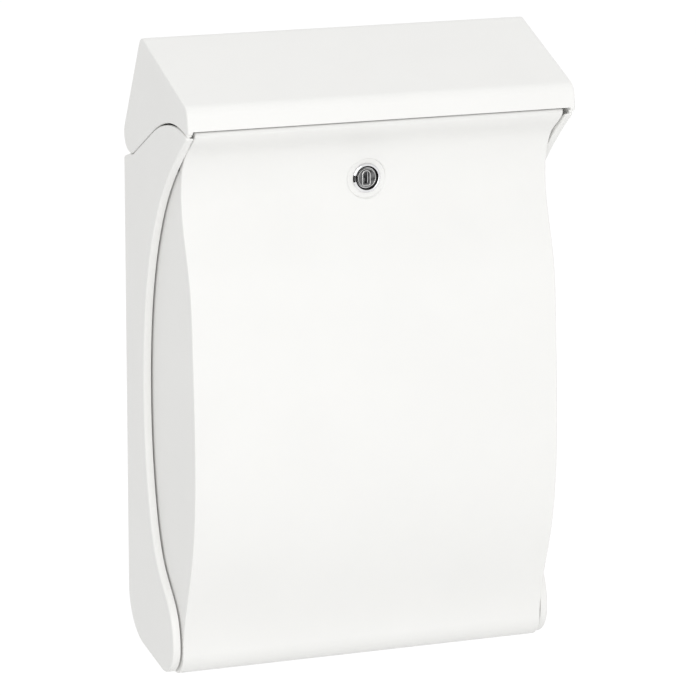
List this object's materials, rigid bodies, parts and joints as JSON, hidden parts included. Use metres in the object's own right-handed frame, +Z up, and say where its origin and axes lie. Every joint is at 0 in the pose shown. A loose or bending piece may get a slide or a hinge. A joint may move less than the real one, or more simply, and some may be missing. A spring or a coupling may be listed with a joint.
{
  "type": "wall mounted post box",
  "caption": "Wall mounted post box of white moulded plastic with arched cheeks, a sloping lid over the letter slot and a bulging front door with a cam lock.",
  "frame": {"origin": "centre of the four wall screw holes, on the flat back face", "axes": "+X to the right as seen from the front, +Y into the wall, +Z up; the door and lid face -Y"},
  "size_m": [0.265, 0.1215, 0.41],
  "materials": {
    "housing_plastic": "white, semi gloss",
    "door_plastic": "white, semi gloss",
    "lid_plastic": "white, semi gloss",
    "rail_plastic": "white, semi gloss",
    "screw_steel": "zinc plated",
    "pin_steel": "bright drawn",
    "lock_chrome": "polished",
    "plug_metal": "dark satin nickel",
    "shutter_steel": "bright",
    "wafer_brass": "stamped",
    "spring_steel": "bright",
    "keeper_brass": "stamped",
    "lock_steel": "zinc plated",
    "cam_steel": "zinc plated"
  },
  "bodies": {
    "case": {"rear_housing": "housing_plastic", "strike_rail": "rail_plastic", "rail_screws": "screw_steel", "lid_pin_left": "pin_steel", "lid_pin_right": "pin_steel", "door_pin_left": "pin_steel", "door_pin_right": "pin_steel"},
    "roof": {"lid": "lid_plastic"},
    "door": {"front_door": "door_plastic", "lock_body": "lock_chrome", "lock_washer": "lock_steel", "lock_nut": "lock_steel"},
    "lock": {"lock_plug": "plug_metal", "keyway_shutter": "shutter_steel", "lock_wafers": "wafer_brass", "wafer_springs": "spring_steel", "plug_keeper": "keeper_brass", "stop_washer": "lock_steel", "cam": "cam_steel", "cam_washer": "lock_steel", "cam_screw": "screw_steel"}
  },
  "joints": [
    {"name": "lid_hinge", "type": "hinge", "parent": "case", "child": "roof", "pos_m": [0, -0.012, 0.164], "axis": [-1, 0, 0], "range_deg": [0, 27]},
    {"name": "door_hinge", "type": "hinge", "parent": "case", "child": "door", "pos_m": [0, -0.073, -0.165], "axis": [1, 0, 0], "range_deg": [0, 90]},
    {"name": "lock_turn", "type": "hinge", "parent": "door", "child": "lock", "pos_m": [0, -0.0899, 0.14], "axis": [0, 1, 0], "range_deg": [0, 90]}
  ]
}
